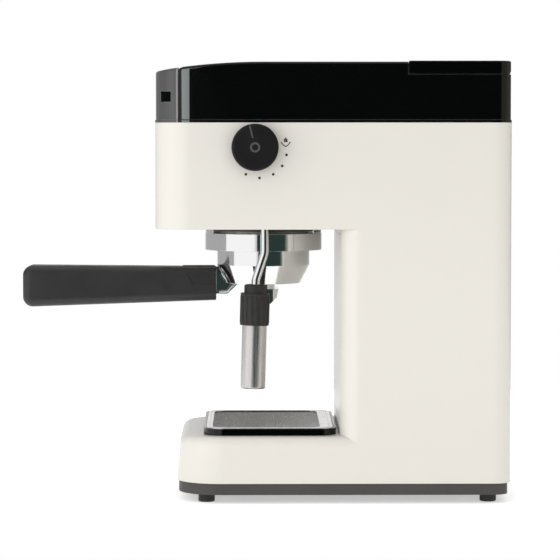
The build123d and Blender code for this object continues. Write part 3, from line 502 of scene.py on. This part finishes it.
def makeSteamIcon():
    dish = [(0, y * mm, z * mm) for y, z in steamIcon["dish"]]
    parts = [stroke(dish, steamIcon["dishLine"])]
    for shift, tall in steamIcon["plumes"]:
        plume = [(0, (shift + steamIcon["sway"] * bend) * mm, (steamIcon["foot"] + tall * share) * mm)
                 for share, bend in steamIcon["bends"]]
        parts.append(stroke(plume, steamIcon["plumeLine"]))
    icon = join(parts)
    icon.scale = (steamIcon["flat"], 1, 1)
    icon.location = dialPoint(dial["iconAngle"])
    return settle(icon, "dial_steam_sign", "mark_ink", "machine")


makeDialDots()
makeSteamIcon()
print("dial marks made")


# the steam knob's inlays

inlay = {"angle": 14, "start": 6.5 * mm, "end": 15.2 * mm, "half": 0.55 * mm, "ringRadius": 2.8 * mm,
         "ringHalf": 0.72 * mm, "ringFlat": 0.35, "ringSink": 0.3 * mm, "depth": 0.5 * mm,
         "fill": 0.9, "bevel": 0.18 * mm}


def makeKnobPointer():
    centre = knobCentre()
    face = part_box("steam_knob")[1].x
    middle = (inlay["start"] + inlay["end"]) / 2
    bpy.ops.object.select_all(action="DESELECT")
    bpy.ops.mesh.primitive_cube_add(size=1, location=(0, 0, middle))
    bar = bpy.context.object
    bar.scale = (inlay["depth"] * inlay["fill"], 2 * inlay["half"], inlay["end"] - inlay["start"])
    bpy.ops.object.transform_apply(location=True, rotation=True, scale=True)
    applyModifier(bar, "BEVEL", width=inlay["bevel"], segments=3)
    bar.rotation_euler = (math.radians(inlay["angle"]), 0, 0)
    bar.location = (face - inlay["depth"] * 0.5, centre.y, centre.z)
    return settle(bar, "knob_pointer", "pointer_grey", "steam_knob")


def makeKnobRing():
    centre = knobCentre()
    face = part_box("steam_knob")[1].x
    bpy.ops.object.select_all(action="DESELECT")
    bpy.ops.mesh.primitive_torus_add(major_radius=inlay["ringRadius"], minor_radius=inlay["ringHalf"],
                                     major_segments=64, minor_segments=16, rotation=(0, math.pi / 2, 0))
    ring = bpy.context.object
    bpy.ops.object.transform_apply(location=True, rotation=True, scale=True)
    ring.scale = (inlay["ringFlat"], 1, 1)
    ring.location = (face - inlay["ringSink"], centre.y, centre.z)
    return settle(ring, "knob_centre_ring", "pointer_grey", "steam_knob")


makeKnobPointer()
makeKnobRing()
print("knob inlays made")


# the signs on the three front buttons

sign = {"line": 0.32 * mm, "flat": 0.25, "size": 2.6 * mm, "lift": 0.02 * mm,
        "powerStart": 125, "powerEnd": 415, "powerSteps": 14, "powerBar": ((0, 0.25), (0, 0.7), (0, 1.15)),
        "bowl": ((-1, 0.7), (-0.9, -0.5), (0, -1.0), (0.9, -0.5), (1, 0.7)),
        "rim": ((-1, 0.7), (0, 0.7), (1, 0.7)),
        "ear": ((0.95, 0.45), (1.5, 0.4), (1.4, -0.2), (0.85, -0.3)), "waves": (-0.75, 0, 0.75),
        "bends": ((-1, 0), (-0.5, 1), (0, 0), (0.5, -1), (1, 0)), "sway": 0.22}


def signLine(points, smooth=True):
    return stroke([(x * sign["size"], 0, z * sign["size"]) for x, z in points], sign["line"], smooth)


def powerSign():
    sweep, last = sign["powerEnd"] - sign["powerStart"], sign["powerSteps"] - 1
    angles = [math.radians(sign["powerStart"] + sweep * step / last) for step in range(last + 1)]
    ring = signLine([(math.cos(angle), math.sin(angle)) for angle in angles])
    return [ring, signLine(sign["powerBar"], smooth=False)]


def cupSign():
    return [signLine(sign["bowl"]), signLine(sign["rim"], smooth=False), signLine(sign["ear"])]


def steamSign():
    return [signLine([(shift + sign["sway"] * bend, share) for share, bend in sign["bends"]])
            for shift in sign["waves"]]


def makeButtonSigns():
    signs = {"steam_button": steamSign, "brew_button": cupSign, "power_button": powerSign}
    for button, draw in signs.items():
        low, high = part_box(button)
        mark = join(draw())
        mark.scale = (1, sign["flat"], 1)
        mark.location = ((low.x + high.x) / 2, low.y + sign["lift"], (low.z + high.z) / 2)
        settle(mark, f"{button}_sign", "mark_ink", button)


makeButtonSigns()
print("button signs made")


# the wand's rubber sleeve, ribbed for the fingers

sleeve = {"ribs": 16, "ribDepth": 0.5 * mm, "gripRadius": 10.2 * mm, "gripTop": -6.0 * mm,
          "gripLow": -28.1 * mm, "band": 1.6 * mm, "bandShare": 0.6, "capDraw": 2.35 * mm,
          "capEdge": 0.9 * mm, "capTaper": 0.84, "cupShare": 0.5, "cupDepth": 0.8 * mm,
          "bore": 8.7 * mm, "boreDepth": 2.0 * mm, "bevel": 0.22 * mm, "bevelAngle": math.radians(40),
          "tilt": -1.6, "near": 0.1 * mm, "clear": 0.02 * mm}


def extrudeUp(distance):
    bpy.ops.mesh.extrude_region_move(TRANSFORM_OT_translate={"value": (0, 0, distance)})


def shrinkRound(share):  # about the sleeve's own axis
    bpy.ops.transform.resize(value=(share, share, 1), center_override=(0, 0, 0))


def makeSleeve():
    core = sleeve["gripRadius"] - sleeve["ribDepth"]
    height = sleeve["gripTop"] - sleeve["gripLow"]
    middle = (sleeve["gripTop"] + sleeve["gripLow"]) / 2
    bpy.ops.object.select_all(action="DESELECT")
    bpy.ops.mesh.primitive_cylinder_add(vertices=4 * sleeve["ribs"], radius=core, depth=height,
                                        location=(0, 0, middle))
    obj = bpy.context.object
    bpy.ops.object.transform_apply(location=True, rotation=True, scale=True)
    bpy.ops.object.mode_set(mode="EDIT")
    for z in (sleeve["gripTop"] - sleeve["band"], sleeve["gripLow"] + sleeve["band"]):
        bpy.ops.mesh.select_all(action="SELECT")
        bpy.ops.mesh.bisect(plane_co=(0, 0, z), plane_no=(0, 0, 1))
    step = 2 * math.pi / sleeve["ribs"]

    def onRib(face):
        spot = face.calc_center_median()
        turn = (math.atan2(spot.y, spot.x) % step) / step
        inside = abs(face.normal.z) < 0.1 and abs(spot.z - middle) < height / 2 - sleeve["band"]
        return inside and turn < 0.5

    def onBand(face):
        spot = face.calc_center_median()
        return abs(face.normal.z) < 0.1 and abs(spot.z - middle) > height / 2 - sleeve["band"]

    def onTop(face):
        return face.normal.z > 0.9 and face.calc_center_median().z > sleeve["gripTop"] - sleeve["near"]

    def onFoot(face):
        return face.normal.z < -0.9 and face.calc_center_median().z < sleeve["gripLow"] + sleeve["near"]

    pick(obj, "faces", onRib)
    bpy.ops.mesh.extrude_region_shrink_fatten(
        TRANSFORM_OT_shrink_fatten={"value": sleeve["ribDepth"], "use_even_offset": True})
    pick(obj, "faces", onBand)
    bpy.ops.mesh.extrude_region_shrink_fatten(
        TRANSFORM_OT_shrink_fatten={"value": sleeve["ribDepth"] * sleeve["bandShare"],
                                    "use_even_offset": True})
    pick(obj, "faces", onTop)  # the narrower neck above the grip, with a shallow cup round the pipe
    bpy.ops.mesh.inset(thickness=sleeve["capDraw"])
    extrudeUp(-sleeve["gripTop"] - sleeve["capEdge"])
    extrudeUp(sleeve["capEdge"])
    shrinkRound(sleeve["capTaper"])
    extrudeUp(0)
    shrinkRound(sleeve["cupShare"])
    extrudeUp(-sleeve["cupDepth"])
    pick(obj, "faces", onFoot)
    bpy.ops.mesh.inset(thickness=core - sleeve["bore"])
    extrudeUp(sleeve["boreDepth"])
    bpy.ops.object.mode_set(mode="OBJECT")
    bevelEdges(obj, sleeve["bevel"], sleeve["bevelAngle"])
    tiltTurn = Matrix.Rotation(math.radians(sleeve["tilt"]), 4, "X")
    obj.matrix_world = Matrix.Translation(wandTop()) @ tiltTurn
    return settle(obj, "wand_sleeve_ribbed", "rubber", "steam_wand", ("wand_sleeve",))


def wandTop():  # where the straight lower wand starts, from the sleeve and the tube below it
    low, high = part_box("wand_sleeve")
    tubeLow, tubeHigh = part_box("frothing_tube")
    run = (low.z + high.z) / 2 - (tubeLow.z + tubeHigh.z) / 2
    lean = ((low.y + high.y) / 2 - (tubeLow.y + tubeHigh.y) / 2) / run
    topY = (low.y + high.y) / 2 + lean * (high.z - low.z) / 2
    return Vector(((low.x + high.x) / 2, topY, high.z - sleeve["clear"]))


makeSleeve()
print("sleeve made")


# the drip grate: a polished surround with a pressed groove, and a slotted sheet

grate = {"corner": 12.1 * mm, "margin": 2.0 * mm, "groove": 0.9 * mm, "grooveDepth": 0.45 * mm,
         "lip": 0.3 * mm, "lipDrop": 0.35 * mm, "lipTaper": (0.994, 0.992, 1), "thick": 1.1 * mm,
         "bevel": 0.12 * mm, "bevelAngle": math.radians(35),
         "fieldFront": -35.85 * mm, "fieldRear": 39.35 * mm, "fieldHalf": 56.5 * mm,
         "slotsAcross": 44, "slotsDeep": 1, "bar": 0.34 * mm, "slotRound": 0.2, "sheet": 0.6 * mm,
         "sheetDrop": 0.95 * mm, "overlap": 1.2 * mm, "edgeBand": 0.3 * mm}


def makeGrateSurround():
    low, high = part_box("drip_grate")
    axis = Vector(((low.x + high.x) / 2, 0, high.z))
    bpy.ops.object.select_all(action="DESELECT")
    bpy.ops.mesh.primitive_plane_add(size=1, location=(axis.x, (low.y + high.y) / 2, high.z))
    obj = bpy.context.object
    obj.scale = (high.x - low.x, high.y - low.y, 1)
    bpy.ops.object.transform_apply(location=True, rotation=True, scale=True)
    bpy.ops.object.mode_set(mode="EDIT")
    bpy.ops.mesh.select_mode(type="VERT")
    bpy.ops.mesh.select_all(action="SELECT")
    bpy.ops.mesh.bevel(offset=grate["corner"], segments=10, affect="VERTICES")
    bpy.ops.mesh.select_mode(type="FACE")
    bpy.ops.mesh.select_all(action="SELECT")
    bpy.ops.mesh.inset(thickness=grate["margin"])
    bpy.ops.mesh.inset(thickness=grate["groove"] / 3)
    bpy.ops.transform.translate(value=(0, 0, -grate["grooveDepth"]))
    for _ in range(2):
        bpy.ops.mesh.inset(thickness=grate["groove"] / 3)
    bpy.ops.transform.translate(value=(0, 0, grate["grooveDepth"]))
    mesh = bmesh.from_edit_mesh(obj.data)
    inner = next(face for face in mesh.faces if face.select)
    halfDeep = max(abs(vert.co.y - inner.calc_center_median().y) for vert in inner.verts)
    halfWide = max(abs(vert.co.x - axis.x) for vert in inner.verts)
    middleY = inner.calc_center_median().y
    fieldDeep = (grate["fieldRear"] - grate["fieldFront"]) / 2
    fieldMiddle = (grate["fieldRear"] + grate["fieldFront"]) / 2
    bpy.ops.mesh.inset(thickness=grate["lip"])
    bpy.ops.transform.resize(value=(grate["fieldHalf"] / halfWide, fieldDeep / halfDeep, 1),
                             center_override=(axis.x, middleY, high.z))
    bpy.ops.transform.translate(value=(0, fieldMiddle - middleY, 0))
    extrudeUp(-grate["lipDrop"])
    bpy.ops.transform.resize(value=grate["lipTaper"], center_override=(axis.x, fieldMiddle, high.z))
    bpy.ops.mesh.delete(type="FACE")
    bpy.ops.object.mode_set(mode="OBJECT")
    applyModifier(obj, "SOLIDIFY", thickness=grate["thick"], offset=-1)
    bevelEdges(obj, grate["bevel"], grate["bevelAngle"])
    return settle(obj, "grate_surround", "polished_steel", "drip_grate", ("drip_grate",))


def makeGrateSheet():
    low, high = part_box("drip_grate")
    depth = grate["fieldRear"] - grate["fieldFront"]
    middle = (grate["fieldRear"] + grate["fieldFront"]) / 2
    middleX = (low.x + high.x) / 2
    bpy.ops.object.select_all(action="DESELECT")
    bpy.ops.mesh.primitive_grid_add(x_subdivisions=grate["slotsAcross"], y_subdivisions=grate["slotsDeep"],
                                    size=1, location=(middleX, middle, high.z - grate["sheetDrop"]))
    obj = bpy.context.object
    obj.scale = (2 * grate["fieldHalf"] + grate["overlap"], depth + grate["overlap"], 1)
    bpy.ops.object.transform_apply(location=True, rotation=True, scale=True)
    bpy.ops.object.mode_set(mode="EDIT")
    bpy.ops.mesh.select_mode(type="FACE")
    bpy.ops.mesh.select_all(action="SELECT")
    bpy.ops.mesh.inset(thickness=grate["bar"], use_individual=True)
    bpy.ops.mesh.delete(type="FACE")
    cell = (2 * grate["fieldHalf"] + grate["overlap"]) / grate["slotsAcross"]

    def atSlot(vert):
        across = abs(vert.co.x - middleX) < grate["fieldHalf"] + grate["edgeBand"]
        return vert.is_boundary and across and abs(vert.co.y - middle) < depth / 2 + grate["edgeBand"]

    pick(obj, "verts", atSlot)
    bpy.ops.mesh.bevel(offset=cell * grate["slotRound"], segments=2, affect="VERTICES")
    bpy.ops.object.mode_set(mode="OBJECT")
    applyModifier(obj, "SOLIDIFY", thickness=grate["sheet"], offset=-1)
    return settle(obj, "grate_slotted_sheet", "brushed_steel", "drip_grate")


makeGrateSurround()
makeGrateSheet()
print("grate made")


# the bright rounded rim of the filter holder's neck, one line on each side

neck = {"upper": ((-13.6, 20.0), (-7.4, 11.3), (-2.0, 9.9)),
        "lower": ((-2.0, 9.9), (-7.4, 4.1), (-13.4, 4.1)),
        "bead": 0.75 * mm, "sink": 0.3 * mm, "rearGap": 0.9 * mm, "shift": 1.6}


def makeNeckBeads():
    low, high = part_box("handle_neck")
    rear = high.y - neck["rearGap"]
    for side, face in (("near", high.x - neck["sink"]), ("far", low.x + neck["sink"])):
        lines = []
        for name in ("upper", "lower"):
            points = [(face, rear + (y + neck["shift"]) * mm, low.z + z * mm) for y, z in neck[name]]
            lines.append(stroke(points, neck["bead"], smooth=False))
        settle(join(lines), f"neck_bead_{side}", "chrome", "filter_holder")


makeNeckBeads()
print("neck beads made")


# floor, light and camera

stage = {"floorBack": 0.75, "floorFront": 0.28, "floorHalf": 2.0, "floorGlow": 0.45, "floorRough": 0.9,
         "floorShine": 0.1, "floorColour": (0.96, 0.96, 0.96), "around": 0.48, "ahead": 1.75, "beside": 1.4,
         "dark": 0.04, "left": 0.46, "right": 0.30, "behind": 0.9, "darkTurn": 14, "warmth": (1, 0.98, 0.84),
         "green": (0.68, 1.2, 1.05)}
# where each side of the surroundings fades in, as the cosine of the angle away from it
fades = {"sides": (-0.2, 0.2), "behind": (0.9, 0.96), "dark": (0.84, 0.88), "beside": (0.5, 0.8),
         "ahead": (0.7, 0.86)}


def makeFloor():  # it stops short on the viewer's side, so that the chrome mirrors the dark room there
    bpy.ops.object.select_all(action="DESELECT")
    bpy.ops.mesh.primitive_plane_add(size=1, location=((stage["floorFront"] - stage["floorBack"]) / 2, 0, 0))
    floor = bpy.context.object
    floor.name = "floor"
    floor.scale = (stage["floorFront"] + stage["floorBack"], 2 * stage["floorHalf"], 1)
    mat = bpy.data.materials.new("pale_floor")
    mat.use_nodes = True
    shader = mat.node_tree.nodes["Principled BSDF"]
    shader.inputs["Base Color"].default_value = (*stage["floorColour"], 1)
    shader.inputs["Roughness"].default_value = stage["floorRough"]
    shader.inputs["Specular IOR Level"].default_value = stage["floorShine"]
    shader.inputs["Emission Color"].default_value = (1, 1, 1, 1)
    shader.inputs["Emission Strength"].default_value = stage["floorGlow"]
    floor.data.materials.append(mat)


def blendColours(tree, factor, off, on):
    mix = tree.nodes.new("ShaderNodeMix")
    mix.data_type = "RGBA"
    tree.links.new(factor, mix.inputs[0])
    for socket, value in ((mix.inputs[6], off), (mix.inputs[7], on)):
        if isinstance(value, tuple):
            socket.default_value = (*value, 1)
        else:
            tree.links.new(value, socket)
    return mix.outputs[2]


def toward(tree, degrees):  # cosine of the angle to a level direction, measured from the viewer's side
    coord = tree.nodes.new("ShaderNodeTexCoord")
    dot = tree.nodes.new("ShaderNodeVectorMath")
    dot.operation = "DOT_PRODUCT"
    turn = math.radians(degrees)
    dot.inputs[1].default_value = (math.cos(turn), math.sin(turn), 0)
    tree.links.new(coord.outputs["Generated"], dot.inputs[0])
    return dot.outputs["Value"]


def sector(tree, degrees, fade):  # 1 where that part of the surroundings lies
    return spread(tree, toward(tree, degrees), 0.0, 1.0, *fades[fade])


def makeWorld():  # diffuse light is broad; mirrored rays meet a dark room ahead and grey walls at the sides
    world = bpy.data.worlds.new("studio")
    bpy.context.scene.world = world
    world.use_nodes = True
    tree = world.node_tree
    tree.nodes.clear()
    out = tree.nodes.new("ShaderNodeOutputWorld")
    light = tree.nodes.new("ShaderNodeBackground")
    path = tree.nodes.new("ShaderNodeLightPath")
    grey = {name: (stage[name],) * 3 for name in ("around", "ahead", "beside", "left", "behind")}
    warm = tuple(stage["right"] * share for share in stage["warmth"])
    green = tuple(stage["dark"] * share for share in stage["green"])
    walls = blendColours(tree, sector(tree, 90, "sides"), grey["left"], warm)
    walls = blendColours(tree, sector(tree, 180, "behind"), walls, grey["behind"])
    mirrored = blendColours(tree, sector(tree, stage["darkTurn"], "dark"), walls, green)
    broad = blendColours(tree, sector(tree, -90, "beside"), grey["around"], grey["beside"])
    broad = blendColours(tree, sector(tree, 0, "ahead"), broad, grey["ahead"])
    lit = blendColours(tree, path.outputs["Is Diffuse Ray"], mirrored, broad)
    seen = blendColours(tree, path.outputs["Is Camera Ray"], lit, (1.0, 1.0, 1.0))
    tree.links.new(seen, light.inputs["Color"])
    tree.links.new(light.outputs["Background"], out.inputs["Surface"])


softboxes = {
    "overhead": {"at": (-0.1, 0.0, 1.5), "aimHeight": 0, "size": (1.8, 1.8), "glow": 0.7, "tint": (1, 1, 1)},
    "strip": {"at": (1.45, -0.41, 0.35), "size": (0.62, 1.0), "glow": 9.0, "tint": (0.95, 1, 1),
              "only": ("top_cover",)},
    "left": {"at": (0.894, -0.896, 0.35), "size": (1.62, 1.3), "glow": 0.66, "tint": (1, 1, 1)},
    "right": {"at": (0.244, 1.262, 0.45), "size": (1.54, 1.3), "glow": 0.3, "tint": (1, 0.98, 0.86)},
}


def makeSoftboxes():
    for name, box in softboxes.items():
        aim = Vector((0, 0, box.get("aimHeight", box["at"][2])))
        bpy.ops.object.light_add(type="AREA", location=box["at"])
        lamp = bpy.context.object
        lamp.name = name
        lamp.data.shape = "RECTANGLE"
        lamp.data.size, lamp.data.size_y = box["size"]
        lamp.data.energy = math.pi * box["size"][0] * box["size"][1] * box["glow"]
        lamp.data.color = box["tint"]
        lamp.rotation_euler = (Vector(box["at"]) - aim).to_track_quat("Z", "Y").to_euler()
        lamp.visible_camera = False
        if "only" in box:  # this light draws one reflection and leaves the rest alone
            lit = bpy.data.collections.new(f"lit_by_{name}")
            for node in box["only"]:
                lit.objects.link(nodes[node])
            lamp.light_linking.receiver_collection = lit


view = {"at": (1.860, -0.0095, 0.252), "pitch": 3.137, "yaw": 0.65, "lens": 169.7, "sensor": 36}


def makeCamera():
    bpy.ops.object.camera_add(location=view["at"])
    cam = bpy.context.object
    pitch, yaw = math.radians(view["pitch"]), math.radians(view["yaw"])
    look = Vector((-math.cos(pitch) * math.cos(yaw), math.cos(pitch) * math.sin(yaw), -math.sin(pitch)))
    cam.rotation_euler = look.to_track_quat("-Z", "Y").to_euler()
    cam.data.lens = view["lens"]
    cam.data.sensor_width = view["sensor"]
    bpy.context.scene.camera = cam


makeFloor()
makeWorld()
makeSoftboxes()
makeCamera()
bpy.context.scene.view_settings.view_transform = "Standard"
print("stage made")
